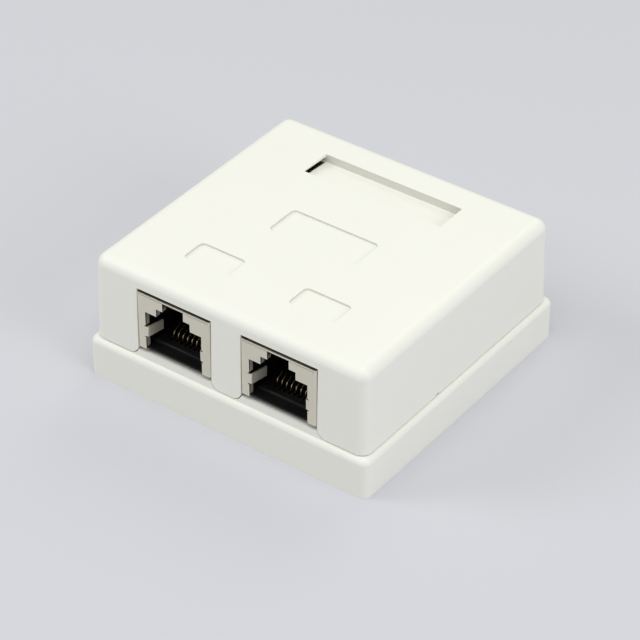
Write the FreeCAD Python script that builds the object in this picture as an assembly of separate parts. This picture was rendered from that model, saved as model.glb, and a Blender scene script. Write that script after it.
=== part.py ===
"""Two-port shielded surface mount jack box, in millimetres.

+Z is up, +X runs along the row of jacks and +Y runs from the jacks to the cable entries. The origin is the
centre of the underside of the base, the face that is screwed to the wall.
"""

import FreeCAD, Part
import math
import os

V = FreeCAD.Vector

# Housing
width = 61.0
depth = 59.2
height = 26.0
base_corner_radius = 1.6
base_floor = 2.0
base_wall = 2.6
rim_height = 8.25
rim_round = 1.3
seam_gap = 0.2
cover_inset = 0.8
cover_wall = 2.1
cover_roof = 2.0
cover_draft = 1.0
cover_round = 2.2
inner_round = 0.8

# Jacks
port_pitch = 22.83
jack_width = 16.1
jack_height = 11.92
jack_depth = 18.0
jack_proud = 0.05
jack_roof_gap = 1.18
jack_side_gap = 0.14
jack_top_gap = 0.35
leg_corner_radius = 1.9
sill_drop = 0.9
sill_thickness = 1.6
fit = 0.04

# Plug opening, heights from the underside of the jack
plug_width = 12.45
plug_top = 8.14
latch_width = 7.45
latch_top = 9.77
tab_width = 4.6
tab_top = 11.5
plug_reach = 12.6
latch_reach = 9.0
opening_rim = 1.1
opening_undercut = 0.5

# Folded sheet of the shield
sheet = 0.3
sheet_bend = 0.45
face_fold = 0.32
face_crease = 0.1
leg_places = (5.4, 14.0)
leg_width = 1.5
leg_root = 0.5

# Ground springs of the shield
spring_bottom = 2.85
spring_height = 2.1
spring_bend = 0.35
spring_bend_steps = 2
spring_length = 3.3
spring_lean = 0.65
spring_relief = 0.25

# Contact wires and their carrier
contact_count = 8
contact_pitch = 1.02
wire = 0.36
wire_bend = 0.45
wire_bend_steps = 1
wire_slot = 0.5
wire_slot_front = 0.6
wire_slot_back = 1.3
wire_front = 4.3
wire_knee_lean = 0.3
wire_knee_height = 1.6
wire_end_height = 5.75
wire_end_reach = 11.75
tail_first = 12.9
tail_stagger = 2.0
tail_below_board = 1.1
carrier_floor = 0.35
carrier_plate = 0.6
carrier_bar_front = 2.1
carrier_bar_width = 0.7
carrier_bar_rise = 0.15
carrier_bar_round = 0.28
carrier_clearance = 0.1
comb_front = 11.1
comb_thickness = 1.2
comb_height = 7.0
comb_groove = 0.85
comb_bridge = 0.4
carrier_heel_gap = 0.3
carrier_heel_back = 16.0
carrier_heel_height = 2.0

# Circuit board
board_thickness = 1.6
board_side_gap = 2.6
board_back_gap = 8.7
board_corner = 1.0
board_gap = 0.25
board_hole_gap = 0.12
board_rib = 1.4
board_rib_clearance = 1.0

# Punch-down blocks
idc_count = 4
idc_pitch = 4.0
idc_end = 0.7
idc_depth = 7.0
idc_height = 10.2
idc_slot = 1.3
idc_slot_depth = 5.6
idc_jack_gap = 4.25
idc_spacing = 11.2
idc_roof = 1.4
idc_ridge = 1.0
idc_step = 0.6
clip_width = 2.5
clip_thickness = 0.5
clip_top_drop = 1.6
clip_slit = 0.36
clip_slit_depth = 4.2
clip_mouth = 0.9
clip_pin = 0.8
clip_shoulder = 0.6

# Fixings
wall_screw_radius = 2.1
wall_screw_collar = 3.5
wall_screw_collar_height = 1.2
wall_screw_front = -20.5
wall_screw_spacing = 43.0
boss_radius = 2.4
board_screw_inset = 2.6
board_screw_shank = 1.1
board_screw_length = 6.5
board_screw_head = 2.0
board_screw_head_height = 1.3
board_screw_recess = 0.7
board_screw_recess_arm = 1.1
board_screw_recess_width = 0.5
pilot_spare = 0.5
board_peg_radius = 1.2
board_peg_rise = 0.9

# Cable entries
cable_radius = 3.5
saddle_width = 9.6
saddle_rise = 2.3
saddle_length = 4.0
saddle_back_gap = 1.2
tie_slot_width = 2.6
tie_slot_height = 1.1
tie_slot_wall = 0.9

# Snap arms of the cover and their catches in the base
snap_positions = (-8.0, 13.0)
snap_width = 6.0
snap_arm = 1.3
snap_gap = 0.2
snap_root = 6.0
snap_nose = 0.55
snap_nose_height = 1.5
snap_foot = 3.9
snap_ramp = 0.9
snap_play = 0.2
lip_drop = 1.4
lip_rise = 2.0
lip_thickness = 1.0
lip_front_gap = 2.0

# Recesses in the top of the cover
label_depth = 0.3
label_corner = 1.5
port_label_width = 9.46
port_label_front = -19.35
port_label_back = -14.24
box_label_width = 18.4
box_label_front = -3.67
box_label_back = 3.54
pocket_width = 30.16
pocket_back = 21.42
pocket_length = 5.7
pocket_depth = 1.75
pocket_floor = 1.3
slit_height = 0.85
slit_reach = 1.6

# Small details of the cover
hold_down_rib = 1.2
hold_down_spacing = 7.95
hold_down_gap = 0.3
hold_down_length = 13.0
pry_notch_width = 0.9
pry_notch_height = 0.35
pry_notch_y = -7.0

# How far a cutter runs past a face, and how deep a boss is rooted in the wall that carries it
over = 1.0
root = 1.0
tiny = 0.01

# Places worked out from the sizes above
front = -depth / 2
back = depth / 2
cover_foot = rim_height + seam_gap
cover_half_x = width / 2 - cover_inset
cover_half_y = depth / 2 - cover_inset
draft_slope = math.tan(math.radians(cover_draft))
sill_front = front + cover_inset
face = sill_front - jack_proud
cutout_half = jack_width / 2 + jack_side_gap
cutout_top = height - cover_roof - jack_roof_gap
jack_top = cutout_top - jack_top_gap
jack_seat = jack_top - jack_height
sill_top = jack_seat - sill_drop
board_bottom = jack_seat - board_thickness
board_half = width / 2 - base_wall - board_side_gap
board_front = sill_front + max(sill_thickness, cover_wall) + board_gap
board_back = back - base_wall - board_back_gap
board_screw_x = board_half - board_screw_inset
board_screw_y = board_back - board_screw_inset
board_peg_x = (port_pitch / 2 + jack_width / 2 + board_half) / 2
board_peg_y = face + (leg_places[0] + leg_places[1]) / 2
tail_bottom = board_bottom - tail_below_board
cable_height = rim_height + seam_gap / 2
wall_screw_back = wall_screw_front + wall_screw_spacing
idc_front_row = face + jack_depth + idc_jack_gap + idc_depth / 2
sides = (("left", -port_pitch / 2), ("right", port_pitch / 2))
rows = (("front", idc_front_row), ("rear", idc_front_row + idc_spacing))


def block(x0, x1, y0, y1, z0, z1):
    """A box between two corners."""
    return Part.makeBox(x1 - x0, y1 - y0, z1 - z0, V(x0, y0, z0))


def cylinder(radius, z0, z1, x=0.0, y=0.0):
    """An upright cylinder."""
    return Part.makeCylinder(radius, z1 - z0, V(x, y, z0))


def cross_cylinder(radius, x, z, y0, y1):
    """A cylinder along Y."""
    return Part.makeCylinder(radius, y1 - y0, V(x, y0, z), V(0, 1, 0))


def outline(half_x, half_y, radius, z, x=0.0, y=0.0):
    """A closed rectangle with rounded corners, at one height."""
    edges = []
    last = None
    first = None
    corners = ((1, 1), (-1, 1), (-1, -1), (1, -1))
    for quarter, (sx, sy) in enumerate(corners):
        centre = V(x + sx * (half_x - radius), y + sy * (half_y - radius), z)
        angles = [math.radians(90 * quarter + a) for a in (0, 45, 90)]
        points = [centre + V(radius * math.cos(a), radius * math.sin(a), 0) for a in angles]
        if last:
            edges.append(Part.LineSegment(last, points[0]).toShape())
        edges.append(Part.Arc(*points).toShape())
        first = first or points[0]
        last = points[2]
    edges.append(Part.LineSegment(last, first).toShape())
    return Part.Wire(edges)


def plate(half_x, half_y, radius, z0, z1, x=0.0, y=0.0):
    """An upright slab with rounded corners."""
    face_at = Part.Face(outline(half_x, half_y, radius, z0, x, y))
    return face_at.extrude(V(0, 0, z1 - z0))


def tapered(half_x, half_y, z0, z1, slope):
    """A block whose four sides lean inwards as they rise."""
    wires = []
    for z in (z0, z1):
        lean = slope * (z - z0)
        hx = half_x - lean
        hy = half_y - lean
        points = [V(hx, hy, z), V(-hx, hy, z), V(-hx, -hy, z), V(hx, -hy, z), V(hx, hy, z)]
        wires.append(Part.makePolygon(points))
    return Part.makeLoft(wires, True, True)


def side_profile(points, x0, x1):
    """A closed outline of (y, z) points, pushed along X."""
    wire_at = Part.makePolygon([V(x0, y, z) for y, z in points + points[:1]])
    return Part.Face(wire_at).extrude(V(x1 - x0, 0, 0))


def front_profile(points, y0, y1):
    """A closed outline of (x, z) points, pushed along Y."""
    wire_at = Part.makePolygon([V(x, y0, z) for x, z in points + points[:1]])
    return Part.Face(wire_at).extrude(V(0, y1 - y0, 0))


def round_edges(shape, radius, keep):
    """Fillets the edges whose middle passes a test."""
    chosen = [e for e in shape.Edges if keep(e)]
    return shape.makeFillet(radius, chosen)


def middle(edge):
    return edge.valueAt((edge.FirstParameter + edge.LastParameter) / 2)


def at_height(edge, z):
    """Whether the middle of an edge lies at one height."""
    return abs(middle(edge).z - z) < tiny


def is_upright(edge):
    """Whether an edge climbs more than it runs."""
    run = edge.Vertexes[-1].Point - edge.Vertexes[0].Point
    return abs(run.z) > 0.7 * run.Length > 0


def mirror_pair(shape):
    """A shape and its mirror image across the YZ plane."""
    return [shape, shape.mirror(V(0, 0, 0), V(1, 0, 0))]


def contact_places():
    """The sideways place of each contact wire, from the middle of its jack."""
    return [(n - (contact_count - 1) / 2) * contact_pitch for n in range(contact_count)]


def tail_place(n):
    """How far behind the face a contact's solder tail goes down; neighbours are staggered."""
    return tail_first + (n % 2) * tail_stagger


def idc_places():
    """The sideways place of each clip, from the middle of its block."""
    return [(n - (idc_count - 1) / 2) * idc_pitch for n in range(idc_count)]


def cable_bores(y0, y1):
    """The two round cable entries behind the jacks, half in the base and half in the cover."""
    return [cross_cylinder(cable_radius, x, cable_height, y0, y1) for _, x in sides]


# Base


def base_sill(x):
    """The wall under one jack, between the feet of two cover legs, whose round corners it follows."""
    flare = cutout_half + leg_corner_radius
    wall = block(x - flare, x + flare, sill_front, sill_front + sill_thickness, base_floor, sill_top)
    centre_z = cover_foot + leg_corner_radius
    for s in (-1, 1):
        at = x + s * flare
        relief = cross_cylinder(leg_corner_radius + seam_gap, at, centre_z, front, board_front)
        wall = wall.cut(relief)
    return wall


def board_posts():
    """Posts that carry the board: pegs at the front and screw bosses at the back."""
    peg_top = jack_seat + board_peg_rise
    posts = []
    for s in (-1, 1):
        posts.append(cylinder(boss_radius, root, board_bottom, s * board_screw_x, board_screw_y))
        posts.append(cylinder(boss_radius, root, board_bottom, s * board_peg_x, board_peg_y))
        posts.append(cylinder(board_peg_radius, root, peg_top, s * board_peg_x, board_peg_y))
    return posts


def board_ribs():
    """Ribs that back the board under the jacks, where a plug pushes it down."""
    y0 = board_front + board_rib_clearance
    y1 = face + tail_first - board_rib_clearance
    half = board_rib / 2
    return [block(x - half, x + half, y0, y1, root, board_bottom) for _, x in sides]


def cable_saddles():
    """A trough under each cable, with a tunnel for a cable tie."""
    y1 = back - base_wall - saddle_back_gap
    y0 = y1 - saddle_length
    slot_y0 = (y0 + y1 - tie_slot_width) / 2
    slot_y1 = slot_y0 + tie_slot_width
    trough_foot = cable_height - cable_radius
    slot_top = trough_foot - tie_slot_wall
    slot_foot = max(slot_top - tie_slot_height, base_floor)
    half = saddle_width / 2
    saddles = []
    for _, x in sides:
        saddle = block(x - half, x + half, y0, y1, root, trough_foot + saddle_rise)
        trough = cross_cylinder(cable_radius, x, cable_height, y0 - over, y1 + over)
        slot = block(x - saddle_width, x + saddle_width, slot_y0, slot_y1, slot_foot, slot_top)
        saddles.append(saddle.cut([trough, slot]))
    return saddles


def jack_notches():
    """Room for the feet of the jacks in the front wall, wherever the rim stands higher than the sills."""
    half = cutout_half
    return [block(x - half, x + half, front - over, board_front, sill_top, jack_top) for _, x in sides]


def snap_pockets():
    """Recesses in the side walls of the base that the cover's noses catch in."""
    inner = width / 2 - base_wall
    pockets = []
    for y in snap_positions:
        half = snap_width / 2 + snap_play
        pocket = block(inner - over, inner + snap_nose + snap_play, y - half, y + half,
                       snap_foot - snap_play, snap_foot + snap_nose_height + snap_play)
        pockets += mirror_pair(pocket)
    return pockets


def make_base():
    body = plate(width / 2, depth / 2, base_corner_radius, 0, rim_height)
    body = round_edges(body, rim_round, lambda e: at_height(e, rim_height))
    hollow = plate(width / 2 - base_wall, depth / 2 - base_wall, inner_round, base_floor, rim_height + over)
    body = body.cut(hollow)
    adds = [base_sill(x) for _, x in sides]
    adds += board_posts() + board_ribs() + cable_saddles()
    for y in (wall_screw_front, wall_screw_back):
        adds.append(cylinder(wall_screw_collar, root, base_floor + wall_screw_collar_height, 0, y))
    body = body.fuse(adds)
    cuts = [cylinder(wall_screw_radius, -over, base_floor + wall_screw_collar_height + over, 0, y)
            for y in (wall_screw_front, wall_screw_back)]
    pilot_foot = jack_seat - board_screw_length - pilot_spare
    for x in (-board_screw_x, board_screw_x):
        cuts.append(cylinder(board_screw_shank + fit, pilot_foot, jack_seat, x, board_screw_y))
    cuts += cable_bores(back - base_wall - over, back + over)
    cuts += snap_pockets() + jack_notches()
    return body.cut(cuts).removeSplitter()


# Cover


def cover_shell():
    """The outer form less its hollow, with the roof thickened under the pocket."""
    outer = tapered(cover_half_x, cover_half_y, cover_foot, height, draft_slope)
    outer = round_edges(outer, cover_round, lambda e: is_upright(e) or at_height(e, height))
    roof = height - cover_roof
    hollow = tapered(cover_half_x - cover_wall, cover_half_y - cover_wall, cover_foot, roof, draft_slope)
    hollow = round_edges(hollow, inner_round, is_upright)
    y0 = pocket_back - pocket_length - pocket_floor
    y1 = pocket_back + pocket_floor
    reach = pocket_width / 2 + slit_reach + pocket_floor
    thick = block(-reach, reach, y0, y1, height - pocket_depth - pocket_floor, height)
    return outer.cut(hollow.cut(thick))


def jack_cutouts():
    """Openings round the jacks; the feet of the legs between them have round corners."""
    y0 = front - over
    y1 = board_front + over
    openings = []
    flare = cutout_half + leg_corner_radius
    centre_z = cover_foot + leg_corner_radius
    for _, x in sides:
        gap = block(x - cutout_half, x + cutout_half, y0, y1, cover_foot - over, cutout_top)
        foot = block(x - flare, x + flare, y0, y1, cover_foot - over, centre_z)
        for s in (-1, 1):
            foot = foot.cut(cross_cylinder(leg_corner_radius, x + s * flare, centre_z, y0, y1))
        openings += [gap, foot]
    return openings


def label_recess(half_x, y0, y1, x=0.0):
    """A shallow recess with rounded corners in the top."""
    floor = height - label_depth
    return plate(half_x, (y1 - y0) / 2, label_corner, floor, height + over, x, (y0 + y1) / 2)


def pocket_cuts():
    """The deep pocket at the back, with a slit under each end for the tongues of a label window."""
    y0 = pocket_back - pocket_length
    floor = height - pocket_depth
    well = block(-pocket_width / 2, pocket_width / 2, y0, pocket_back, floor, height + over)
    reach = pocket_width / 2 + slit_reach
    slit = block(-reach, reach, y0, pocket_back, floor, floor + slit_height)
    return [well, slit]


def snap_arm_solid(y):
    """One arm on the right side: it hangs inside the base's wall and its nose points outwards."""
    outer = width / 2 - base_wall - snap_gap
    inner = outer - snap_arm
    top = cover_foot + snap_root
    nose = outer + snap_gap + snap_nose
    lip = snap_foot + snap_nose_height
    points = [(inner, top), (inner, snap_foot), (outer, snap_foot), (nose, snap_foot + snap_ramp),
              (nose, lip), (outer, lip), (outer, cover_foot), (outer + cover_wall / 2, cover_foot),
              (outer + cover_wall / 2, top - snap_arm)]
    return front_profile(points, y - snap_width / 2, y + snap_width / 2)


def locating_lip():
    """A lip round three sides that hangs inside the base's wall and closes the seam."""
    half_x = width / 2 - base_wall - snap_gap
    half_y = depth / 2 - base_wall - snap_gap
    z0 = rim_height - lip_drop
    z1 = cover_foot + lip_rise
    lip = plate(half_x, half_y, inner_round, z0, z1)
    inner_x = half_x - lip_thickness
    inner_y = half_y - lip_thickness
    inner = block(-inner_x, inner_x, -inner_y, inner_y, z0 - over, z1 + over)
    jack_side = block(-width, width, front, board_front + lip_front_gap, z0 - over, z1 + over)
    return lip.cut([inner, jack_side])


def hold_down_ribs():
    """Ribs under the roof that keep the jacks down on the board."""
    y0 = sill_front + root
    y1 = y0 + hold_down_length
    half = hold_down_rib / 2
    ribs = []
    for _, port_x in sides:
        for x in (port_x - hold_down_spacing / 2, port_x + hold_down_spacing / 2):
            ribs.append(block(x - half, x + half, y0, y1, jack_top + hold_down_gap, height - root))
    return ribs


def make_cover():
    body = cover_shell()
    arms = []
    for y in snap_positions:
        arms += mirror_pair(snap_arm_solid(y))
    body = body.fuse(arms + hold_down_ribs() + [locating_lip()])
    cuts = jack_cutouts() + pocket_cuts()
    cuts += cable_bores(back - base_wall - snap_gap - lip_thickness - over, back + over)
    for _, x in sides:
        cuts.append(label_recess(port_label_width / 2, port_label_front, port_label_back, x))
    cuts.append(label_recess(box_label_width / 2, box_label_front, box_label_back))
    y0 = pry_notch_y - pry_notch_width / 2
    y1 = pry_notch_y + pry_notch_width / 2
    x0 = cover_half_x - cover_wall / 2
    notch = block(x0, cover_half_x + over, y0, y1, cover_foot - over, cover_foot + pry_notch_height)
    cuts += mirror_pair(notch)
    return body.cut(cuts).removeSplitter()


# Jacks


def plug_steps(y0, y1, grow=0.0, z0=0.0, roof=tab_top):
    """The stepped opening of a jack with its latch upwards, wider than the plug by grow on each side."""
    half = plug_width / 2 + grow
    latch = latch_width / 2 + grow
    tab = tab_width / 2 + grow
    step = plug_top + grow
    upper_step = latch_top + grow
    points = [(-half, z0), (half, z0), (half, step), (latch, step), (latch, upper_step), (tab, upper_step),
              (tab, roof), (-tab, roof), (-tab, upper_step), (-latch, upper_step), (-latch, step),
              (-half, step)]
    return front_profile(points, y0, y1)


def bent_strip(points, radius, size, steps):
    """The outline of a strip along a path in a plane, each bend taken in short straight steps."""
    headings = [math.atan2(v1 - v0, u1 - u0) for (u0, v0), (u1, v1) in zip(points, points[1:])]
    stations = [(*points[0], headings[0])]
    for (u, v), before, after in zip(points[1:], headings, headings[1:]):
        turn = (after - before + math.pi) % (2 * math.pi) - math.pi
        swing = math.copysign(radius, turn)
        back_off = radius * math.tan(abs(turn) / 2)
        centre_u = u - back_off * math.cos(before) - swing * math.sin(before)
        centre_v = v - back_off * math.sin(before) + swing * math.cos(before)
        for step in range(steps + 1):
            heading = before + turn * step / steps
            place = (centre_u + swing * math.sin(heading), centre_v - swing * math.cos(heading))
            stations.append((*place, heading))
    stations.append((*points[-1], headings[-1]))
    h = size / 2
    left = [(u - h * math.sin(a), v + h * math.cos(a)) for u, v, a in stations]
    right = [(u + h * math.sin(a), v - h * math.cos(a)) for u, v, a in reversed(stations)]
    return left + right


def ground_spring():
    """A tongue cut from the right edge of the opening and bent back into the jack."""
    edge = plug_width / 2
    corner = edge - spring_bend
    path = [(edge + sheet, sheet / 2), (corner, sheet / 2), (corner - spring_lean, sheet + spring_length)]
    points = bent_strip(path, spring_bend, sheet, spring_bend_steps)
    wire_at = Part.makePolygon([V(x, y, spring_bottom) for x, y in points + points[:1]])
    return Part.Face(wire_at).extrude(V(0, 0, spring_height))


def make_shield():
    """One folded sheet with its opening's edge turned in, ground springs and board legs. Origin at its foot."""
    half = jack_width / 2
    can = block(-half, half, 0, jack_depth, 0, jack_height)
    can = round_edges(can, sheet_bend, is_upright)
    inside = block(-half + sheet, half - sheet, sheet, jack_depth - sheet, -over, jack_height - sheet)
    can = can.cut(inside)
    flange_foot = carrier_floor + fit
    can = can.fuse(plug_steps(sheet / 2, opening_rim, sheet, flange_foot, jack_height - sheet / 2))
    cuts = [plug_steps(-over, opening_rim + over, z0=-over)]
    edge = plug_width / 2
    z0 = spring_bottom - spring_relief
    z1 = spring_bottom + spring_height
    y1 = opening_rim + over
    cuts += mirror_pair(block(edge - over, edge + sheet + over, sheet, y1, z0, z1 + spring_relief))
    for z in (z0, z1):
        cuts += mirror_pair(block(edge - over, edge + spring_relief, -over, sheet + over, z, z + spring_relief))
    crease_top = jack_height - face_fold
    fold = half - face_fold
    cuts.append(block(-fold, fold, -over, sheet / 2, crease_top - face_crease, crease_top))
    can = can.cut(cuts)
    leg_end = -board_thickness - tail_below_board
    legs = []
    for y in leg_places:
        leg = block(half - sheet, half, y - leg_width / 2, y + leg_width / 2, leg_end, leg_root)
        legs += mirror_pair(leg)
    return can.fuse(legs + mirror_pair(ground_spring())).removeSplitter()


def make_housing():
    """The black insulator inside the shield, with the plug's cavity and room for the contact carrier."""
    half = jack_width / 2 - sheet - fit
    body = block(-half, half, sheet + fit, jack_depth - sheet - fit, 0, jack_height - sheet - fit)
    open_top = jack_height + over
    cavity = plug_steps(opening_rim, plug_reach, opening_undercut, carrier_floor, open_top)
    beyond = block(-half, half, latch_reach, plug_reach, plug_top + opening_undercut, open_top)
    throat = plug_steps(-over, opening_rim + fit, sheet + fit, carrier_floor, open_top)
    edge = plug_width / 2
    slot_z0 = spring_bottom - spring_relief
    slot_z1 = spring_bottom + spring_height + spring_relief
    slot_y1 = sheet + spring_length + spring_relief
    slot = block(edge - over, edge + opening_undercut, 0, slot_y1, slot_z0, slot_z1)
    heel_back = carrier_heel_back + carrier_clearance
    heel_top = carrier_floor + carrier_heel_height + carrier_clearance
    heel = block(-edge, edge, comb_front, heel_back, -over, heel_top)
    return body.cut([cavity.cut(beyond), throat, heel] + mirror_pair(slot)).removeSplitter()


def make_carrier():
    """The insert that holds the wires: a floor with a rounded front bar, a comb and a heel over the tails."""
    half = plug_width / 2 - carrier_clearance
    z0 = carrier_floor
    z1 = carrier_floor + carrier_plate
    bar_back = carrier_bar_front + carrier_bar_width
    comb_back = comb_front + comb_thickness
    comb_top = carrier_floor + comb_height
    heel_top = carrier_floor + carrier_heel_height
    bar_top = z1 + carrier_bar_rise
    heel_front = comb_front + carrier_heel_gap
    points = [(carrier_bar_front, z0), (carrier_bar_front, bar_top), (bar_back, bar_top), (bar_back, z1),
              (comb_front, z1), (comb_front, comb_top), (comb_back, comb_top), (comb_back, heel_top),
              (carrier_heel_back, heel_top), (carrier_heel_back, 0), (heel_front, 0), (heel_front, z0)]
    body = side_profile(points, -half, half)
    crest = V(0, carrier_bar_front, bar_top)
    body = round_edges(body, carrier_bar_round, lambda e: middle(e).isEqual(crest, tiny))
    cuts = []
    for n, x in enumerate(contact_places()):
        x0 = x - wire_slot / 2
        x1 = x + wire_slot / 2
        cuts.append(block(x0, x1, wire_front - wire_slot_front, wire_front + wire_slot_back, -over, z1 + over))
        cuts.append(block(x0, x1, wire_front, tail_place(n) + wire, -over, z0 + wire + 2 * fit))
        cuts.append(block(x0, x1, comb_front - over, comb_front + comb_groove, z1, comb_top - comb_bridge))
    return body.cut(cuts).removeSplitter()


def make_contact(n):
    """One contact wire: solder tail, run under the carrier, knee at the front and spring leaf to the comb."""
    run = carrier_floor + fit + wire / 2
    tail = tail_place(n)
    knee = (wire_front + wire_knee_lean, run + wire_knee_height)
    points = [(tail, tail_bottom - jack_seat), (tail, run), (wire_front, run), knee,
              (wire_end_reach, carrier_floor + wire_end_height)]
    return side_profile(bent_strip(points, wire_bend, wire, wire_bend_steps), -wire / 2, wire / 2)


# Circuit board


def board_holes():
    """Holes for pins, legs, pegs and screws, each from the piece that passes through it."""
    z0 = board_bottom - over
    z1 = jack_seat + over
    holes = []
    for s in (-1, 1):
        screw_radius = board_screw_shank + 2 * board_hole_gap
        holes.append(cylinder(screw_radius, z0, z1, s * board_screw_x, board_screw_y))
        holes.append(cylinder(board_peg_radius + board_hole_gap, z0, z1, s * board_peg_x, board_peg_y))

    def slot(x, y, width_x, width_y):
        half_x = width_x / 2 + board_hole_gap
        half_y = width_y / 2 + board_hole_gap
        holes.append(block(x - half_x, x + half_x, y - half_y, y + half_y, z0, z1))

    for _, port_x in sides:
        for n, x in enumerate(contact_places()):
            slot(port_x + x, face + tail_place(n), wire, wire)
        for y in leg_places:
            slot(port_x - (jack_width - sheet) / 2, face + y, sheet, leg_width)
            slot(port_x + (jack_width - sheet) / 2, face + y, sheet, leg_width)
        for _, row_y in rows:
            for x in idc_places():
                slot(port_x + x, row_y, clip_pin, clip_thickness)
    return holes


def make_board():
    half_y = (board_back - board_front) / 2
    body = plate(board_half, half_y, board_corner, board_bottom, jack_seat, 0, board_front + half_y)
    throat = wall_screw_collar - board_gap
    z0 = board_bottom - over
    z1 = jack_seat + over
    notch = block(-throat, throat, board_front - over, wall_screw_front, z0, z1)
    notch = notch.fuse(cylinder(throat, z0, z1, 0, wall_screw_front))
    return body.cut([notch] + board_holes()).removeSplitter()


def make_board_screw(x):
    """A pan-head screw with a cross recess."""
    top = jack_seat + board_screw_head_height
    screw = cylinder(board_screw_shank, jack_seat - board_screw_length, jack_seat)
    screw = screw.fuse(cylinder(board_screw_head, jack_seat, top))
    arm = board_screw_recess_arm
    half = board_screw_recess_width / 2
    floor = top - board_screw_recess
    screw = screw.cut([block(-arm, arm, -half, half, floor, top + over),
                       block(-half, half, -arm, arm, floor, top + over)])
    screw.translate(V(x, board_screw_y, 0))
    return screw


# Punch-down blocks


def make_idc_block():
    """Four wire slots between pointed towers, with a pocket for each clip. Origin at the middle of its foot."""
    half_x = idc_count * idc_pitch / 2 + idc_end
    half_y = idc_depth / 2
    top = idc_height
    slot_foot = top - idc_slot_depth
    tower = half_y - idc_step
    ridge = idc_ridge / 2
    shoulder = slot_foot + idc_step
    eaves = top - idc_roof
    section = [(-half_y, 0), (half_y, 0), (half_y, slot_foot), (tower, shoulder), (tower, eaves), (ridge, top),
               (-ridge, top), (-tower, eaves), (-tower, shoulder), (-half_y, slot_foot)]
    body = side_profile(section, -half_x, half_x)
    cuts = []
    for x in idc_places():
        slot = idc_slot / 2
        mouth = slot + idc_roof / 2
        points = [(x - slot, slot_foot), (x + slot, slot_foot), (x + slot, eaves), (x + mouth, top),
                  (x + mouth, top + over), (x - mouth, top + over), (x - mouth, top), (x - slot, eaves)]
        cuts.append(front_profile(points, -idc_depth, idc_depth))
        cuts.append(block(x - clip_width / 2 - fit, x + clip_width / 2 + fit, -clip_thickness / 2 - fit,
                          clip_thickness / 2 + fit, -over, top - clip_top_drop + fit))
    return body.cut(cuts).removeSplitter()


def make_idc_clip():
    """A flat blade with a slit that grips a wire, and a pin for the board."""
    half = clip_width / 2
    top = idc_height - clip_top_drop
    slit = clip_slit / 2
    mouth = clip_mouth / 2
    pin = clip_pin / 2
    pin_end = -board_thickness - tail_below_board
    grip = top - clip_mouth
    root_of_slit = top - clip_slit_depth
    points = [(-pin, pin_end), (pin, pin_end), (pin, clip_shoulder), (half, clip_shoulder), (half, top),
              (mouth, top), (slit, grip), (slit, root_of_slit), (-slit, root_of_slit), (-slit, grip),
              (-mouth, top), (-half, top), (-half, clip_shoulder), (-pin, clip_shoulder)]
    return front_profile(points, -clip_thickness / 2, clip_thickness / 2)


def export(name, shape, x=0.0, y=0.0, z=0.0):
    """Writes one piece at its place in the box."""
    placed = shape.copy()
    placed.translate(V(x, y, z))
    placed.exportStep(f"parts/{name}.step")


def build():
    os.makedirs("parts", exist_ok=True)
    export("base", make_base())
    export("cover", make_cover())
    export("circuit_board", make_board())
    shield = make_shield()
    housing = make_housing()
    carrier = make_carrier()
    contacts = [make_contact(n) for n in range(contact_count)]
    idc_block = make_idc_block()
    clip = make_idc_clip()
    for side, port_x in sides:
        export(f"jack_shield_{side}", shield, port_x, face, jack_seat)
        export(f"jack_housing_{side}", housing, port_x, face, jack_seat)
        export(f"contact_carrier_{side}", carrier, port_x, face, jack_seat)
        for n, x in enumerate(contact_places()):
            export(f"contact_{side}_{n + 1}", contacts[n], port_x + x, face, jack_seat)
        for row, (row_name, row_y) in enumerate(rows):
            export(f"idc_block_{side}_{row_name}", idc_block, port_x, row_y, jack_seat)
            for n, x in enumerate(idc_places()):
                number = row * idc_count + n + 1
                export(f"idc_clip_{side}_{number}", clip, port_x + x, row_y, jack_seat)
    export("board_screw_left", make_board_screw(-board_screw_x))
    export("board_screw_right", make_board_screw(board_screw_x))


build()
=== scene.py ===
import math

import bmesh
import bpy
from mathutils import Matrix, Vector


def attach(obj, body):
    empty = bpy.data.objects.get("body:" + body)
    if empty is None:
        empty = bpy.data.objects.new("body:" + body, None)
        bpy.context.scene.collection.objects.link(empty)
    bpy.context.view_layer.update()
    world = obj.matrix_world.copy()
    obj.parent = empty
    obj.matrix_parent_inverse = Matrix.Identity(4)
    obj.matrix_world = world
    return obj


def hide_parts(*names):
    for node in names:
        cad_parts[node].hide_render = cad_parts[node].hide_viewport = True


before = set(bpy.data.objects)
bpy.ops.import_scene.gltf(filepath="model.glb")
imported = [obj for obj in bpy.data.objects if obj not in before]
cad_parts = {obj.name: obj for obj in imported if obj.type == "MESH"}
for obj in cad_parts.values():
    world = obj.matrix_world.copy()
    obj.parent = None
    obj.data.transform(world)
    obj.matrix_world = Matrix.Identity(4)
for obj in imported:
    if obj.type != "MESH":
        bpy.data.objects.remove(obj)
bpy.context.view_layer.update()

bl_info = {
    "name": "Surface mount jack box",
    "version": (1, 0, 0),
    "blender": (4, 5, 0),
    "location": "3D View > Sidebar > Jack box",
    "description": "Dresses a two-port shielded surface mount jack box",
    "category": "Object",
}

MM = 0.001
BASE_BODY = "base_body"
COVER_BODY = "cover_body"
SIDES = ("left", "right")

# Places of the jacks: their middles, the face of their shields and the board that they stand on
PORT_X = {"left": -11.415 * MM, "right": 11.415 * MM}
FACE = -28.85 * MM
SEAT = 10.55 * MM

# Contact wires: their path from the board, as distances behind the face and above the board, in mm
WIRES = 8
WIRE_PITCH = 1.02 * MM
WIRE_STAGGER = 2.0 * MM
WIRE_PATH = ((12.9, -2.7), (12.9, 0.57), (4.3, 0.57), (4.6, 2.17), (11.75, 6.1))
WIRE_SIDES = 8
BEND_STEPS = 3
# Painted shade on the contact wires: it starts this far behind the face and grows to a dark tint of
# the gold over this length
WIRE_SHADE_START = 5.0 * MM
WIRE_SHADE_FADE = 1.2 * MM

# The part of a shield that plugs rub: half its width, its near and far ends and its top
MOUTH_HALF = 6.5 * MM
MOUTH = (0.33 * MM, 4.4 * MM)
MOUTH_TOP = 10.4 * MM

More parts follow.
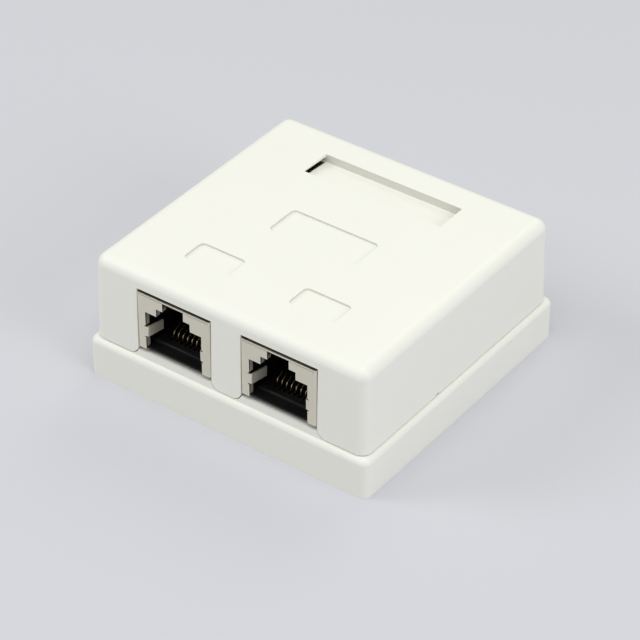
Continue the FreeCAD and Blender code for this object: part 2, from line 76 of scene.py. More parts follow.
# Board: its tracks lie between two distances from the middle and two places along the box
TRACK_AREA = (3.6 * MM, 19.4 * MM, -13.5 * MM, 9.0 * MM)
TRACK_PITCH = 1.02 * MM
TRACK_HEIGHT = 0.035 * MM
GAP_SHARE = 0.55
BOARD_SCREW = (22.7 * MM, 15.7 * MM)
PAD_RADIUS = 2.45 * MM
CLIP_GRID = {"Columns": 4, "Rows": 2, "Pitch": 4.0 * MM, "Row spacing": 11.2 * MM}

# Cover, in mm: its top, and its label recesses as left, right, front and back. They grow to the
# front and the right, get deeper and have smaller corners
COVER_TOP = 26.0
LABELS = (
    (-16.145, -6.685, -19.35, -14.24),
    (6.685, 16.145, -19.35, -14.24),
    (-9.2, 9.2, -3.67, 3.54),
)
LABEL_GROWTH = 0.5
LABEL_CORNER_SHARE = 0.65
LABEL_DEPTH = 0.43
OLD_LABEL_DEPTH = 0.3

# Pocket of the cover, in mm: where its front, back, ends and slots' ends are. Its front moves, and
# so do the heights of its floor and of its slots' tops
POCKET_FRONT = 15.72
POCKET_BACK = 21.42
POCKET_HALF = 15.1
SLOT_HALF = 16.7
POCKET_LOWEST = 24.2
NEW_POCKET_FRONT = 14.5
FRONT_HEIGHTS = {24.25: 24.8, 25.1: 25.72}
BACK_HEIGHTS = {24.25: 24.3, 25.1: 25.4}

# What opens the pocket's ends, in mm: how far each prism reaches and its outline from the side
SLOTS = (
    (16.6, ((14.55, 22.5), (21.3, 22.5), (21.3, 25.36), (14.55, 25.68))),
    (18.4, ((14.0, 22.5), (23.0, 22.5), (23.0, 23.95), (14.0, 23.95))),
)

# Painted shade on faces of the cover, in mm: the walls of its recesses, above a height, and the
# ceilings of its cut-outs, in front of a place and between two heights
RECESS_SHADE = 0.21
RECESS_LOWEST = 24.0
CEILING_BACK = -26.0
CEILING = (22.5, 23.5)

# How near a corner or the middle of a face has to be to count as on a wall, in mm
CORNER_NEAR = 0.01
FACE_NEAR = 0.1

# Copied meshes: corners closer than this are merged, and the angles of flat and of sharp edges
WELD = 0.0005 * MM
FLAT = math.radians(0.5)
SHARP = math.radians(35)

# Stage: half the floor's width, then each lamp's colour, width and place
FLOOR_HALF = 3.0
LAMPS = {
    "key": ((1.0, 1.0, 0.97), 0.7, (0.12, -0.16, 0.95)),
    "right": ((0.94, 0.94, 1.0), 0.5, (0.8, -0.1, 0.45)),
    "left": ((0.99, 0.99, 1.0), 0.5, (-0.7, -0.45, 0.6)),
    "back": ((1.0, 1.0, 0.78), 0.6, (-0.1, 0.75, 0.7)),
}

# Camera: its place, its yaw, pitch and roll in degrees, its lens in mm and what it can see
CAMERA_PLACE = (245.5 * MM, -337.5 * MM, 318.9 * MM)
CAMERA_TURNS = (36.12, 36.74, 0.11)
CAMERA_LENS = 161.92
CAMERA_RANGE = (0.01, 20.0)


# Sizes and colours that a user would change


class HousingLook(bpy.types.PropertyGroup):
    """The white moulding of the base and the cover."""

    colour: bpy.props.FloatVectorProperty(
        name="Colour", description="Colour of the moulded plastic", subtype="COLOR", size=3,
        min=0.0, max=1.0, default=(0.86, 0.862, 0.786))
    roughness: bpy.props.FloatProperty(
        name="Roughness", description="Mean roughness of the satin finish", subtype="FACTOR",
        min=0.0, max=1.0, default=0.42)
    grain: bpy.props.FloatProperty(
        name="Grain size", description="Size of the mould's spark texture", unit="LENGTH",
        min=0.00005, default=0.28 * MM)
    grain_depth: bpy.props.FloatProperty(
        name="Grain depth", description="Depth of the mould's spark texture", unit="LENGTH",
        min=0.0, default=0.006 * MM)
    edge: bpy.props.FloatProperty(
        name="Edge rounding", description="Rounding of the moulded edges", unit="LENGTH",
        min=0.0, default=0.08 * MM)


class JackLook(bpy.types.PropertyGroup):
    """The shields, insulators and contact wires of the two jacks."""

    shield_colour: bpy.props.FloatVectorProperty(
        name="Shield colour", description="Colour of the plated sheet", subtype="COLOR", size=3,
        min=0.0, max=1.0, default=(0.757, 0.717, 0.595))
    shield_roughness: bpy.props.FloatProperty(
        name="Shield roughness", description="Mean roughness of the plated sheet", subtype="FACTOR",
        min=0.0, max=1.0, default=0.34)
    shield_edge: bpy.props.FloatProperty(
        name="Shield edge", description="Rounding of the sheet's stamped edges", unit="LENGTH",
        min=0.0, default=0.04 * MM)
    insulator_colour: bpy.props.FloatVectorProperty(
        name="Insulator colour", description="Colour of the insulator and of the wires' carrier",
        subtype="COLOR", size=3, min=0.0, max=1.0, default=(0.008, 0.0075, 0.0075))
    insulator_edge: bpy.props.FloatProperty(
        name="Insulator edge", description="Rounding of the insulator's edges", unit="LENGTH",
        min=0.0, default=0.06 * MM)
    gold_colour: bpy.props.FloatVectorProperty(
        name="Gold colour", description="Colour of the plating on the contact wires",
        subtype="COLOR", size=3, min=0.0, max=1.0, default=(0.42, 0.335, 0.18))
    wire_size: bpy.props.FloatProperty(
        name="Wire size", description="Thickness of a contact wire", unit="LENGTH",
        min=0.0001, default=0.26 * MM)
    wire_bend: bpy.props.FloatProperty(
        name="Wire bend", description="Bend radius of a contact wire", unit="LENGTH",
        min=0.0001, default=0.45 * MM)


class BoardLook(bpy.types.PropertyGroup):
    """The circuit board with its punch-down blocks and screws."""

    mask_colour: bpy.props.FloatVectorProperty(
        name="Solder mask", description="Colour of the board's solder mask", subtype="COLOR", size=3,
        min=0.0, max=1.0, default=(0.02, 0.16, 0.07))
    block_colour: bpy.props.FloatVectorProperty(
        name="Block colour", description="Colour of the punch-down blocks", subtype="COLOR", size=3,
        min=0.0, max=1.0, default=(0.80, 0.80, 0.76))
    tin_colour: bpy.props.FloatVectorProperty(
        name="Tin colour", description="Colour of the clips' tin plating", subtype="COLOR", size=3,
        min=0.0, max=1.0, default=(0.70, 0.69, 0.66))
    zinc_colour: bpy.props.FloatVectorProperty(
        name="Zinc colour", description="Colour of the screws' zinc plating", subtype="COLOR", size=3,
        min=0.0, max=1.0, default=(0.58, 0.59, 0.60))
    block_edge: bpy.props.FloatProperty(
        name="Block edge", description="Rounding of the blocks' edges", unit="LENGTH",
        min=0.0, default=0.08 * MM)
    board_edge: bpy.props.FloatProperty(
        name="Board edge", description="Rounding of the board's routed edges", unit="LENGTH",
        min=0.0, default=0.05 * MM)
    clip_edge: bpy.props.FloatProperty(
        name="Clip edge", description="Rounding of the clips' stamped edges", unit="LENGTH",
        min=0.0, default=0.03 * MM)
    screw_edge: bpy.props.FloatProperty(
        name="Screw edge", description="Rounding of the screws' heads", unit="LENGTH",
        min=0.0, default=0.1 * MM)


class StageLook(bpy.types.PropertyGroup):
    """The floor, the lamps and the camera."""

    floor_colour: bpy.props.FloatVectorProperty(
        name="Floor colour", description="Colour of the floor", subtype="COLOR", size=3,
        min=0.0, max=1.0, default=(0.60, 0.61, 0.65))
    sky_strength: bpy.props.FloatProperty(
        name="Sky strength", description="Strength of the even light from all round", min=0.0,
        default=0.484)
    key_power: bpy.props.FloatProperty(
        name="Key power", description="Power of the large lamp overhead", unit="POWER", min=0.0,
        default=3.14)
    right_power: bpy.props.FloatProperty(
        name="Right power", description="Power of the lamp on the right", unit="POWER", min=0.0,
        default=2.2)
    left_power: bpy.props.FloatProperty(
        name="Left power", description="Power of the lamp at the front left", unit="POWER", min=0.0,
        default=2.7)
    back_power: bpy.props.FloatProperty(
        name="Back power", description="Power of the lamp behind", unit="POWER", min=0.0,
        default=1.06)


# Node trees


class Wire:
    """A socket; sums, products and comparisons of wires add Math nodes."""

    def __init__(self, graph, socket):
        self.graph = graph
        self.socket = socket

    def maths(self, operation, first, second):
        """A Math node on two numbers or wires."""
        return self.graph.node("ShaderNodeMath", {"operation": operation}, {0: first, 1: second})

    def __add__(self, other):
        return self.maths("ADD", self, other)

    __radd__ = __add__

    def __sub__(self, other):
        return self.maths("SUBTRACT", self, other)

    def __rsub__(self, other):
        return self.maths("SUBTRACT", other, self)

    def __mul__(self, other):
        return self.maths("MULTIPLY", self, other)

    __rmul__ = __mul__

    def __gt__(self, other):
        return self.maths("GREATER_THAN", self, other)

    def __lt__(self, other):
        return self.maths("LESS_THAN", self, other)

    def __mod__(self, other):
        return self.maths("MODULO", self, other)


class Graph:
    """A node tree and the one method that adds a node to it."""

    def __init__(self, tree):
        self.tree = tree

    def node(self, kind, settings=None, sockets=None, out=0):
        """Adds a node: its type, its settings, then the values or wires of its sockets."""
        made = self.tree.nodes.new(kind)
        for name, value in (settings or {}).items():
            setattr(made, name, value)
        for name, value in (sockets or {}).items():
            socket = made.inputs[name]
            if isinstance(value, Wire):
                self.tree.links.new(value.socket, socket)
            else:
                socket.default_value = value
        return Wire(self, made.outputs[out]) if made.outputs else None

    def mix(self, factor, first, second):
        """A blend of two colours, each three numbers or a wire."""
        first, second = [c if isinstance(c, Wire) else (*c, 1.0) for c in (first, second)]
        sockets = {0: factor, 6: first, 7: second}
        return self.node("ShaderNodeMix", {"data_type": "RGBA"}, sockets, out=2)

    def noise(self, place, scale, detail=2.0, roughness=0.5):
        """Cloudy noise, with its scale in waves per metre."""
        return self.node("ShaderNodeTexNoise", {}, {
            "Vector": place, "Scale": scale, "Detail": detail, "Roughness": roughness})

    def stretched(self, place, scale):
        """A place squeezed along some axes, so that a pattern on it becomes streaks."""
        return self.node("ShaderNodeMapping", {"vector_type": "POINT"}, {
            "Vector": place, "Scale": scale})

    def axes(self, place):
        """The three coordinates of a place."""
        return [self.node("ShaderNodeSeparateXYZ", {}, {"Vector": place}, out=axis)
                for axis in "XYZ"]

    def size(self, value):
        """A value without its sign."""
        return self.node("ShaderNodeMath", {"operation": "ABSOLUTE"}, {0: value})

    def bump(self, height):
        """A surface raised by a height in metres."""
        return self.node("ShaderNodeBump", {}, {
            "Height": height, "Distance": 1.0, "Strength": 1.0})

    def given(self):
        """The tree's own inputs, by name."""
        inputs = self.node("NodeGroupInput").socket.node
        return {socket.name: Wire(self, socket) for socket in inputs.outputs if socket.name}

    def along(self, axis, distance):
        """A step along one axis."""
        return self.node("ShaderNodeCombineXYZ", {}, {axis: distance})

    def row(self, count, first, step):
        """Points in a straight row."""
        return self.node("GeometryNodeMeshLine", {"mode": "OFFSET"}, {
            "Count": count, "Start Location": first, "Offset": step})

    def copies(self, points, shape):
        """A copy of a shape on each point."""
        return self.node("GeometryNodeInstanceOnPoints", {}, {"Points": points, "Instance": shape})

    def attribute(self, name):
        """A number kept on a mesh's points."""
        return self.node("GeometryNodeInputNamedAttribute", {"data_type": "FLOAT"}, {"Name": name})

    def finish(self, shape, finish):
        """Makes copies real, gives the shape its material and sends it out of the tree."""
        real = self.node("GeometryNodeRealizeInstances", {}, {"Geometry": shape})
        dressed = self.node("GeometryNodeSetMaterial", {}, {"Geometry": real, "Material": finish})
        self.node("NodeGroupOutput", {}, {"Shape": dressed})


def scaled(colour, factor):
    """A colour made lighter or darker."""
    return tuple(min(1.0, c * factor) for c in colour)


def material(name, paint):
    """A material whose Principled sockets come from paint(graph, place)."""
    made = bpy.data.materials.new(name)
    made.use_nodes = True
    tree = made.node_tree
    tree.nodes.clear()
    graph = Graph(tree)
    place = graph.node("ShaderNodeTexCoord", out="Object")
    sockets = paint(graph, place)
    shader = graph.node("ShaderNodeBsdfPrincipled", {}, sockets)
    graph.node("ShaderNodeOutputMaterial", {}, {"Surface": shader})
    return made


def white_moulding(look):
    """Satin plastic with a fine spark texture, darkened by painted shade on the walls of the recesses
    and the ceilings of the cut-outs.
    """
    def paint(g, place):
        grain = g.noise(place, 1 / look.grain, roughness=0.6)
        flow = g.noise(place, 70.0)
        mottle = g.noise(place, 420.0, detail=3.0)
        colour = g.mix(flow, scaled(look.colour, 0.985), scaled(look.colour, 1.01))
        colour = g.mix(mottle * 0.35, colour, scaled(look.colour, 0.975))
        # Painted shade: faces that carry it are blended towards near black.
        recess = g.node("ShaderNodeAttribute", {"attribute_name": "recess"}, out="Fac")
        colour = g.mix(recess, colour, scaled(look.colour, 0.02))
        height = grain * look.grain_depth + flow * (0.05 * MM)
        return {
            "Base Color": colour,
            "Roughness": look.roughness - 0.06 + flow * 0.06 + grain * 0.06,
            "Normal": g.bump(height),
            "IOR": 1.5,
        }
    return material("moulded white plastic", paint)


def plated_sheet(look):
    """Nickel on rolled sheet, scuffed where plugs rub it."""
    def paint(g, place):
        streaks = g.stretched(place, (1.0, 1.0, 24.0))
        rolled = g.noise(streaks, 260.0, detail=4.0, roughness=0.6)
        cloud = g.noise(place, 330.0, detail=3.0)
        colour = g.mix(cloud, scaled(look.shield_colour, 0.95), scaled(look.shield_colour, 1.05))
        x, y, z = g.axes(place)
        aside = g.size(g.size(x) - PORT_X["right"])
        near, far = (FACE + distance for distance in MOUTH)
        scuffed = (aside < MOUTH_HALF) * (y > near) * (y < far) * (z < SEAT + MOUTH_TOP)
        return {
            "Base Color": colour,
            "Metallic": 1.0 - scuffed * 0.22,
            "Roughness": (look.shield_roughness - 0.1 + cloud * 0.12 + rolled * 0.1
                          + scuffed * 0.12),
            "Normal": g.bump(rolled * (0.003 * MM) + cloud * (0.01 * MM)),
        }
    return material("plated sheet", paint)


def black_insulator(look, name, lift, roughness):
    """Black plastic, made lighter by a factor."""
    def paint(g, place):
        grain = g.noise(place, 5200.0)
        flow = g.noise(place, 300.0)
        dark = scaled(look.insulator_colour, lift)
        return {
            "Base Color": g.mix(flow, scaled(dark, 0.8), scaled(dark, 1.25)),
            "Roughness": roughness - 0.05 + flow * 0.05 + grain * 0.05,
            "Normal": g.bump(grain * (0.002 * MM)),
            "Specular IOR Level": 0.14,
        }
    return material(name, paint)


def gold_plating(look):
    """Drawn gold-plated wire, with painted shade that darkens it towards its root."""
    def paint(g, place):
        drawn = g.noise(g.stretched(place, (8.0, 1.0, 1.0)), 900.0, detail=3.0)
        gold = g.mix(drawn, scaled(look.gold_colour, 0.9), scaled(look.gold_colour, 1.08))
        _, y, _ = g.axes(place)
        # Painted shade: the wire fades to a dark tint of its gold farther back inside the jack.
        rear_shade = (y - (FACE + WIRE_SHADE_START)) * (1 / WIRE_SHADE_FADE)
        return {
            "Base Color": g.mix(rear_shade, gold, scaled(look.gold_colour, 0.12)),
            "Metallic": 1.0,
            "Roughness": 0.14 + drawn * 0.1,
            "Normal": g.bump(drawn * (0.002 * MM)),
        }
    return material("gold plating", paint)


def solder_mask(look):
    """Green lacquer over a woven board, with tracks under it and bare pads round the screws."""
    def paint(g, place):
        weave = g.noise(g.stretched(place, (1.0, 0.25, 1.0)), 2600.0)
        flow = g.noise(place, 160.0)
        colour = g.mix(flow, scaled(look.mask_colour, 0.85), scaled(look.mask_colour, 1.15))
        colour = g.mix(weave * 0.3, colour, scaled(look.mask_colour, 1.5))
        x, y, _ = g.axes(place)
        across = g.size(x)
        inner, outer, near, far = TRACK_AREA
        area = (across > inner) * (across < outer) * (y > near) * (y < far)
        track = ((across * (1 / TRACK_PITCH)) % 1.0 > GAP_SHARE) * area
        colour = g.mix(track * 0.85, colour, scaled(look.mask_colour, 2.4))
        aside, away = across - BOARD_SCREW[0], y - BOARD_SCREW[1]
        pad = aside * aside + away * away < PAD_RADIUS ** 2
        return {
            "Base Color": g.mix(pad, colour, look.tin_colour),
            "Metallic": pad,
            "Roughness": 0.26 + weave * 0.12,
            "Normal": g.bump(weave * (0.003 * MM) + track * TRACK_HEIGHT),
            "Coat Weight": 0.2 + flow * 0.2,
            "Coat Roughness": 0.15,
        }
    return material("green solder mask", paint)


def block_plastic(look):
    """The smoother white plastic of the punch-down blocks."""
    def paint(g, place):
        grain = g.noise(place, 4200.0)
        flow = g.noise(place, 180.0)
        return {
            "Base Color": g.mix(
                flow, scaled(look.block_colour, 0.97), scaled(look.block_colour, 1.02)),
            "Roughness": 0.32 + flow * 0.08 + grain * 0.05,
            "Normal": g.bump(grain * (0.003 * MM)),
            "IOR": 1.58,
        }
    return material("punch-down block plastic", paint)


def bright_plating(name, colour, roughness, streak):
    """Bright metal plating with fine streaks."""
    def paint(g, place):
        drawn = g.noise(g.stretched(place, streak), 700.0, detail=3.0)
        return {
            "Base Color": g.mix(drawn, scaled(colour, 0.9), scaled(colour, 1.06)),
            "Metallic": 1.0,
            "Roughness": roughness - 0.05 + drawn * 0.12,
            "Normal": g.bump(drawn * (0.003 * MM)),
        }
    return material(name, paint)


# Meshes


def link(name, data):
    """An object in the scene for a mesh, a lamp or a camera."""
    made = bpy.data.objects.new(name, data)
    bpy.context.scene.collection.objects.link(made)
    return made


def cad_copy(node, name, edge, segments=2, reshape=None, cutters=()):
    """A copy of a CAD node with its facets merged, its sharp edges rounded and its curves smooth.

    The copy may be reshaped corner by corner and cut with other objects before it is rounded.
    """
    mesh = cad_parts[node].data.copy()
    mesh.name = name
    mesh.materials.clear()
    bm = bmesh.new()
    bm.from_mesh(mesh)
    bmesh.ops.remove_doubles(bm, verts=bm.verts, dist=WELD)
    bmesh.ops.dissolve_limit(bm, angle_limit=FLAT, verts=bm.verts, edges=bm.edges)
    for vertex in bm.verts if reshape else ():
        vertex.co = Vector(reshape(*(c / MM for c in vertex.co))) * MM
    # Painted shade: on the cover, the walls of the recesses and the ceilings of the cut-outs get a
    # darkness that the material paints into their colour.
    recess = bm.faces.layers.float.new("recess")
    bm.normal_update()
    for face in bm.faces:
        face.smooth = True
        middle = face.calc_center_median() / MM
        face[recess] = recess_shade(middle, face.normal) if reshape else 0.0
    bm.to_mesh(mesh)
    bm.free()
    if "custom_normal" in mesh.attributes:
        mesh.attributes.remove(mesh.attributes["custom_normal"])
    made = link(name, mesh)
    for cutter in cutters:
        cut = made.modifiers.new("cut", "BOOLEAN")
        cut.operation = "DIFFERENCE"
        cut.solver = "EXACT"
        cut.object = cutter
    bevel = made.modifiers.new("edges", "BEVEL")
    bevel.width = edge
    bevel.segments = segments
    bevel.limit_method = "ANGLE"
    bevel.angle_limit = SHARP
    bevel.use_clamp_overlap = True
    bevel.miter_outer = "MITER_ARC"
    weighted = made.modifiers.new("normals", "WEIGHTED_NORMAL")
    weighted.keep_sharp = False
    weighted.weight = 50
    return settle(made)


def reshape_cover(x, y, z):
    """Moves a corner of the cover, in mm: a sloping pocket floor, and deeper label recesses."""
    if abs(x) < SLOT_HALF and z > POCKET_LOWEST:
        if abs(y - POCKET_FRONT) < CORNER_NEAR:
            return x, NEW_POCKET_FRONT, FRONT_HEIGHTS.get(round(z, 2), z)
        if abs(y - POCKET_BACK) < CORNER_NEAR:
            return x, y, BACK_HEIGHTS.get(round(z, 2), z)
    for x0, x1, y0, y1 in LABELS:
        across = x0 - CORNER_NEAR < x < x1 + CORNER_NEAR
        along = y0 - CORNER_NEAR < y < y1 + CORNER_NEAR
        if across and along and z > COVER_TOP - OLD_LABEL_DEPTH - CORNER_NEAR:
            corner_x = x0 if x - x0 < x1 - x else x1
            corner_y = y0 if y - y0 < y1 - y else y1
            x = corner_x + (x - corner_x) * LABEL_CORNER_SHARE
            y = corner_y + (y - corner_y) * LABEL_CORNER_SHARE
            x += LABEL_GROWTH if corner_x == x1 else 0.0
            y -= LABEL_GROWTH if corner_y == y0 else 0.0
            return x, y, COVER_TOP if z > COVER_TOP - FACE_NEAR else COVER_TOP - LABEL_DEPTH
    return x, y, z


def recess_shade(at, normal):
    """How much painted shade a face of the cover gets, from its middle in mm: walls of the recesses,
    and ceilings of the cut-outs.
    """
    if normal.z < -0.9 and at.y < CEILING_BACK and CEILING[0] < at.z < CEILING[1]:
        return 1.0
    if abs(normal.z) > 0.5 or at.z < RECESS_LOWEST:
        return 0.0
    if abs(at.y - POCKET_BACK) < FACE_NEAR and abs(at.x) < POCKET_HALF + FACE_NEAR:
        return RECESS_SHADE
    grown = LABEL_GROWTH + FACE_NEAR
    for x0, x1, y0, y1 in LABELS:
        if x0 - FACE_NEAR < at.x < x1 + grown and y0 - grown < at.y < y1 + FACE_NEAR:
            return RECESS_SHADE
    return 0.0


def slot_cutter(sign, reach, side):
    """A prism that opens one end of the pocket into the box, so that the slot there is dark."""
    bm = bmesh.new()
    near, far = [[bm.verts.new(Vector((sign * x, y, z)) * MM) for y, z in side]
                 for x in (POCKET_HALF, reach)]
    bm.faces.new(near)
    bm.faces.new(far)
    for n in range(len(side)):
        m = (n + 1) % len(side)
        bm.faces.new((near[n], near[m], far[m], far[n]))
    bmesh.ops.recalc_face_normals(bm, faces=bm.faces)
    mesh = bpy.data.meshes.new("slot")
    bm.to_mesh(mesh)
    bm.free()
    return link("slot", mesh)


def settle(made):
    """Turns an object with modifiers into a plain mesh object."""
    graph = bpy.context.evaluated_depsgraph_get()
    graph.update()
    mesh = bpy.data.meshes.new_from_object(made.evaluated_get(graph), depsgraph=graph)
    made.modifiers.clear()
    mesh.name = made.name
    made.data = mesh
    return made


def shape_tree(name, inputs):
    """An empty Geometry Nodes tree with a shape in, a shape out and an input for each size."""
    tree = bpy.data.node_groups.new(name, "GeometryNodeTree")
    tree.interface.new_socket("Shape", in_out="INPUT", socket_type="NodeSocketGeometry")
    for label, value in inputs.items():
        kind = "NodeSocketInt" if isinstance(value, int) else "NodeSocketFloat"
        tree.interface.new_socket(label, in_out="INPUT", socket_type=kind)
    tree.interface.new_socket("Shape", in_out="OUTPUT", socket_type="NodeSocketGeometry")
    return tree


def run_tree(made, tree, inputs):
    """Runs a tree on an object, with the sizes set before the first evaluation."""
    modifier = made.modifiers.new(tree.name, "NODES")
    modifier.node_group = tree
    for item in tree.interface.items_tree:
        if item.in_out == "INPUT" and item.name in inputs:
            modifier[item.identifier] = inputs[item.name]
    return settle(made)


def wire_row(name, port_x, sizes, finish):
    """The bent contact wires of one jack, from a path in the plane of its first wire."""
    mesh = bpy.data.meshes.new(name)
    path = [(port_x, FACE + y * MM, SEAT + z * MM) for y, z in WIRE_PATH]
    mesh.from_pydata(path, [(n, n + 1) for n in range(len(path) - 1)], [])
    tail = mesh.attributes.new("tail", "FLOAT", "POINT")
    tail.data.foreach_set("value", [float(n < 2) for n in range(len(path))])
    made = link(name, mesh)

    tree = shape_tree("contact wires", sizes)
    g = Graph(tree)
    given = g.given()
    pitch = given["Pitch"]
    first = g.along("X", (given["Count"] - 1) * pitch * -0.5)
    places = g.row(given["Count"], first, g.along("X", pitch))
    store = {"data_type": "FLOAT", "domain": "POINT"}
    places = g.node("GeometryNodeStoreNamedAttribute", store, {
        "Geometry": places, "Name": "number", "Value": g.node("GeometryNodeInputIndex")})
    wires = g.node("GeometryNodeRealizeInstances", {}, {
        "Geometry": g.copies(places, given["Shape"])})
    stagger = g.along("Y", (g.attribute("number") % 2) * given["Stagger"])
    wires = g.node("GeometryNodeSetPosition", {}, {
        "Geometry": wires, "Selection": g.attribute("tail") > 0.5, "Offset": stagger})
    curve = g.node("GeometryNodeMeshToCurve", {}, {"Mesh": wires})
    bent = g.node("GeometryNodeFilletCurve", {"mode": "POLY"}, {
        "Curve": curve, "Count": BEND_STEPS, "Radius": given["Bend"], "Limit Radius": True})
    section = g.node("GeometryNodeCurvePrimitiveCircle", {"mode": "RADIUS"}, {
        "Resolution": WIRE_SIDES, "Radius": given["Thickness"] * 0.5})
    round_wire = g.node("GeometryNodeCurveToMesh", {}, {
        "Curve": bent, "Profile Curve": section, "Fill Caps": True})
    g.finish(round_wire, finish)
    run_tree(made, tree, sizes)
    made.data.shade_smooth()
    return made


def clip_grid(name, node, edge, sizes, finish):
    """The punch-down clips of one jack, all copies of its first."""
    made = cad_copy(node, name, edge, 1)
    tree = shape_tree("punch-down clips", sizes)
    g = Graph(tree)
    given = g.given()
    origin = g.node("ShaderNodeCombineXYZ")
    across = g.row(given["Columns"], origin, g.along("X", given["Pitch"]))
    back = g.row(given["Rows"], origin, g.along("Y", given["Row spacing"]))
    line = g.copies(across, given["Shape"])
    g.finish(g.copies(back, line), finish)
    return run_tree(made, tree, sizes)


def finish_piece(made, body, finish, replaced):
    """Gives a piece its material and its body, and hides the CAD nodes that it stands for."""
    made.data.materials.clear()
    made.data.materials.append(finish)
    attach(made, body)
    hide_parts(*replaced)


# Pieces


class JACKBOX_OT_housing(bpy.types.Operator):
    """Makes the white base and cover with softened edges"""

    bl_idname = "jackbox.housing"
    bl_label = "Base and cover"

    def execute(self, context):
        look = context.scene.jackbox_housing
        finish = white_moulding(look)
        base = cad_copy("base", "housing_base", look.edge)
        finish_piece(base, BASE_BODY, finish, ["base"])
        cutters = [slot_cutter(sign, *slot) for sign in (-1, 1) for slot in SLOTS]
        cover = cad_copy(
            "cover", "housing_cover", look.edge, reshape=reshape_cover, cutters=cutters)
        for cutter in cutters:
            bpy.data.objects.remove(cutter)
        finish_piece(cover, COVER_BODY, finish, ["cover"])
        return {"FINISHED"}


class JACKBOX_OT_jacks(bpy.types.Operator):
    """Makes the shields, insulators and wire carriers of both jacks"""

    bl_idname = "jackbox.jacks"
    bl_label = "Jacks"

    def execute(self, context):
        look = context.scene.jackbox_jacks
        sheet = plated_sheet(look)
        insulator = black_insulator(look, "insulator plastic", lift=1.0, roughness=0.42)
        carrier = black_insulator(look, "carrier plastic", lift=1.8, roughness=0.3)
        for side in SIDES:
            for part, slot, edge, finish in (
                    ("jack_shield", "shield_steel", look.shield_edge, sheet),
                    ("jack_housing", "insulator_black", look.insulator_edge, insulator),
                    ("contact_carrier", "carrier_black", look.insulator_edge, carrier)):
                node = f"{part}_{side}"
                made = cad_copy(node, f"port_{part}_{side}", edge)
                finish_piece(made, BASE_BODY, finish, [node])
        return {"FINISHED"}


class JACKBOX_OT_contacts(bpy.types.Operator):
    """Makes the gold contact wires of both jacks"""

    bl_idname = "jackbox.contacts"
    bl_label = "Contact wires"

    def execute(self, context):
        look = context.scene.jackbox_jacks
        gold = gold_plating(look)
        sizes = {"Count": WIRES, "Pitch": WIRE_PITCH, "Stagger": WIRE_STAGGER,
                 "Bend": look.wire_bend, "Thickness": look.wire_size}
        for side in SIDES:
            made = wire_row(f"contact_wires_{side}", PORT_X[side], sizes, gold)
            nodes = [f"contact_{side}_{n + 1}" for n in range(WIRES)]
            finish_piece(made, BASE_BODY, gold, nodes)
        return {"FINISHED"}


class JACKBOX_OT_board(bpy.types.Operator):
    """Makes the circuit board, the punch-down blocks and the board's screws"""

    bl_idname = "jackbox.board"
    bl_label = "Board"

    def execute(self, context):
        look = context.scene.jackbox_board
        board = cad_copy("circuit_board", "wiring_board", look.board_edge)
        finish_piece(board, BASE_BODY, solder_mask(look), ["circuit_board"])
        plastic = block_plastic(look)
        zinc = bright_plating(
            "zinc plating", look.zinc_colour, roughness=0.36, streak=(1.0, 1.0, 6.0))
        tin = bright_plating(
            "tin plating", look.tin_colour, roughness=0.3, streak=(1.0, 1.0, 0.2))
        clips = CLIP_GRID["Columns"] * CLIP_GRID["Rows"]
        for side in SIDES:
            for row in ("front", "rear"):
                node = f"idc_block_{side}_{row}"
                made = cad_copy(node, f"punch_block_{side}_{row}", look.block_edge)
                finish_piece(made, BASE_BODY, plastic, [node])
            first = f"idc_clip_{side}_1"
            made = clip_grid(f"punch_clips_{side}", first, look.clip_edge, CLIP_GRID, tin)
            nodes = [f"idc_clip_{side}_{n + 1}" for n in range(clips)]
            finish_piece(made, BASE_BODY, tin, nodes)
            node = f"board_screw_{side}"
            made = cad_copy(node, f"pan_screw_{side}", look.screw_edge)
            finish_piece(made, BASE_BODY, zinc, [node])
        return {"FINISHED"}


class JACKBOX_OT_stage(bpy.types.Operator):
    """Makes the floor, the lamps, the sky and the camera"""

    bl_idname = "jackbox.stage"
    bl_label = "Stage"

    def execute(self, context):
        look = context.scene.jackbox_stage
        make_floor(look)
        make_sky(look)
        for name, (colour, width, place) in LAMPS.items():
            make_lamp(name, getattr(look, f"{name}_power"), colour, width, Vector(place))
        make_camera()
        context.scene.view_settings.view_transform = "Standard"
        return {"FINISHED"}


def make_floor(look):
    """The plain pale floor under the box."""
    mesh = bpy.data.meshes.new("floor")
    signs = ((-1, -1), (1, -1), (1, 1), (-1, 1))
    corners = [(x * FLOOR_HALF, y * FLOOR_HALF, 0) for x, y in signs]
    mesh.from_pydata(corners, [], [(0, 1, 2, 3)])
    floor = link("floor", mesh)
    made = bpy.data.materials.new("pale floor")
    made.use_nodes = True
    shader = made.node_tree.nodes["Principled BSDF"]
    shader.inputs["Base Color"].default_value = (*look.floor_colour, 1.0)
    shader.inputs["Roughness"].default_value = 0.85
    mesh.materials.append(made)


def make_sky(look):
    """Even white light from all round, seen by the camera and by gloss in the floor's colour."""
    world = bpy.data.worlds.new("studio sky")
    bpy.context.scene.world = world
    world.use_nodes = True
    tree = world.node_tree
    tree.nodes.clear()
    g = Graph(tree)
    camera_ray = g.node("ShaderNodeLightPath", out="Is Camera Ray")
    glossy_ray = g.node("ShaderNodeLightPath", out="Is Glossy Ray")
    seen = g.node("ShaderNodeMath", {"operation": "MAXIMUM"}, {0: camera_ray, 1: glossy_ray})
    even = g.node("ShaderNodeBackground", {}, {
        "Color": (1.0, 1.0, 1.0, 1.0), "Strength": look.sky_strength})
    pale = g.node("ShaderNodeBackground", {}, {
        "Color": (*look.floor_colour, 1.0), "Strength": 1.0})
    both = g.node("ShaderNodeMixShader", {}, {0: seen, 1: even, 2: pale})
    g.node("ShaderNodeOutputWorld", {}, {"Surface": both})


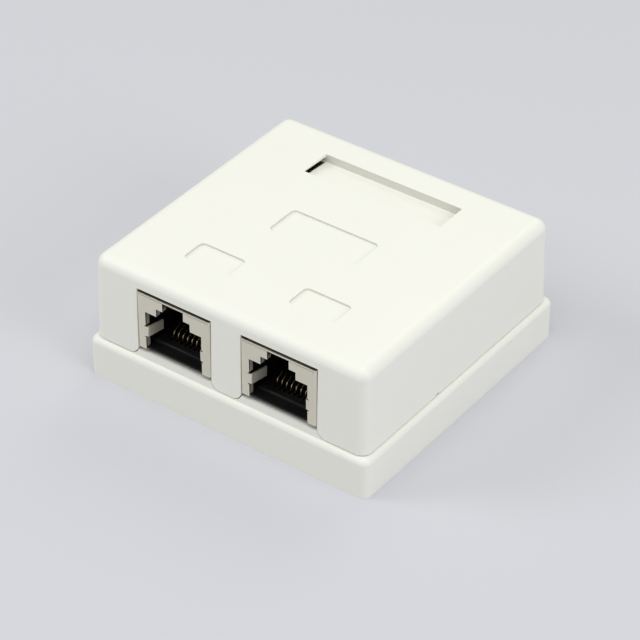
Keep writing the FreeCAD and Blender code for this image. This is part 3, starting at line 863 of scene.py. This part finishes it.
def make_lamp(name, power, colour, width, place):
    """A round soft lamp that faces the box."""
    lamp = bpy.data.lights.new(name, "AREA")
    lamp.energy = power
    lamp.color = colour
    lamp.shape = "DISK"
    lamp.size = width
    made = link(name, lamp)
    made.location = place
    made.rotation_mode = "QUATERNION"
    made.rotation_quaternion = (-place).to_track_quat("-Z", "Y")


def make_camera():
    """A long lens in front of the jacks, to the right and above."""
    yaw, pitch, roll = (math.radians(angle) for angle in CAMERA_TURNS)
    level = math.cos(pitch)
    forward = Vector((-math.sin(yaw) * level, math.cos(yaw) * level, -math.sin(pitch)))
    right = forward.cross(Vector((0, 0, 1))).normalized()
    up = right.cross(forward)
    turn = Matrix((right, up, -forward)).transposed() @ Matrix.Rotation(roll, 3, "Z")
    lens = bpy.data.cameras.new("camera")
    lens.sensor_width = 36.0
    lens.lens = CAMERA_LENS
    lens.clip_start, lens.clip_end = CAMERA_RANGE
    camera = link("camera", lens)
    camera.matrix_world = turn.to_4x4()
    camera.location = CAMERA_PLACE
    bpy.context.scene.camera = camera


class JACKBOX_PT_panel(bpy.types.Panel):
    """Lists the pieces of the jack box"""

    bl_idname = "JACKBOX_PT_panel"
    bl_label = "Jack box"
    bl_space_type = "VIEW_3D"
    bl_region_type = "UI"
    bl_category = "Jack box"

    def draw(self, context):
        for operator in OPERATORS:
            self.layout.operator(operator.bl_idname)
        for name, group in LOOKS.items():
            box = self.layout.box()
            for key in group.__annotations__:
                box.prop(getattr(context.scene, name), key)


OPERATORS = (
    JACKBOX_OT_housing,
    JACKBOX_OT_jacks,
    JACKBOX_OT_contacts,
    JACKBOX_OT_board,
    JACKBOX_OT_stage,
)
LOOKS = {
    "jackbox_housing": HousingLook,
    "jackbox_jacks": JackLook,
    "jackbox_board": BoardLook,
    "jackbox_stage": StageLook,
}


def register():
    """Adds the classes and the scene's settings."""
    for group in (*LOOKS.values(), *OPERATORS, JACKBOX_PT_panel):
        bpy.utils.register_class(group)
    for name, group in LOOKS.items():
        setattr(bpy.types.Scene, name, bpy.props.PointerProperty(type=group))


def unregister():
    """Takes them away again."""
    for name in LOOKS:
        delattr(bpy.types.Scene, name)
    for group in (JACKBOX_PT_panel, *reversed(OPERATORS), *LOOKS.values()):
        bpy.utils.unregister_class(group)


def main():
    """Makes the whole box on its stage."""
    register()
    bpy.ops.jackbox.housing()
    bpy.ops.jackbox.jacks()
    bpy.ops.jackbox.contacts()
    bpy.ops.jackbox.board()
    bpy.ops.jackbox.stage()


if __name__ == "__main__":
    main()
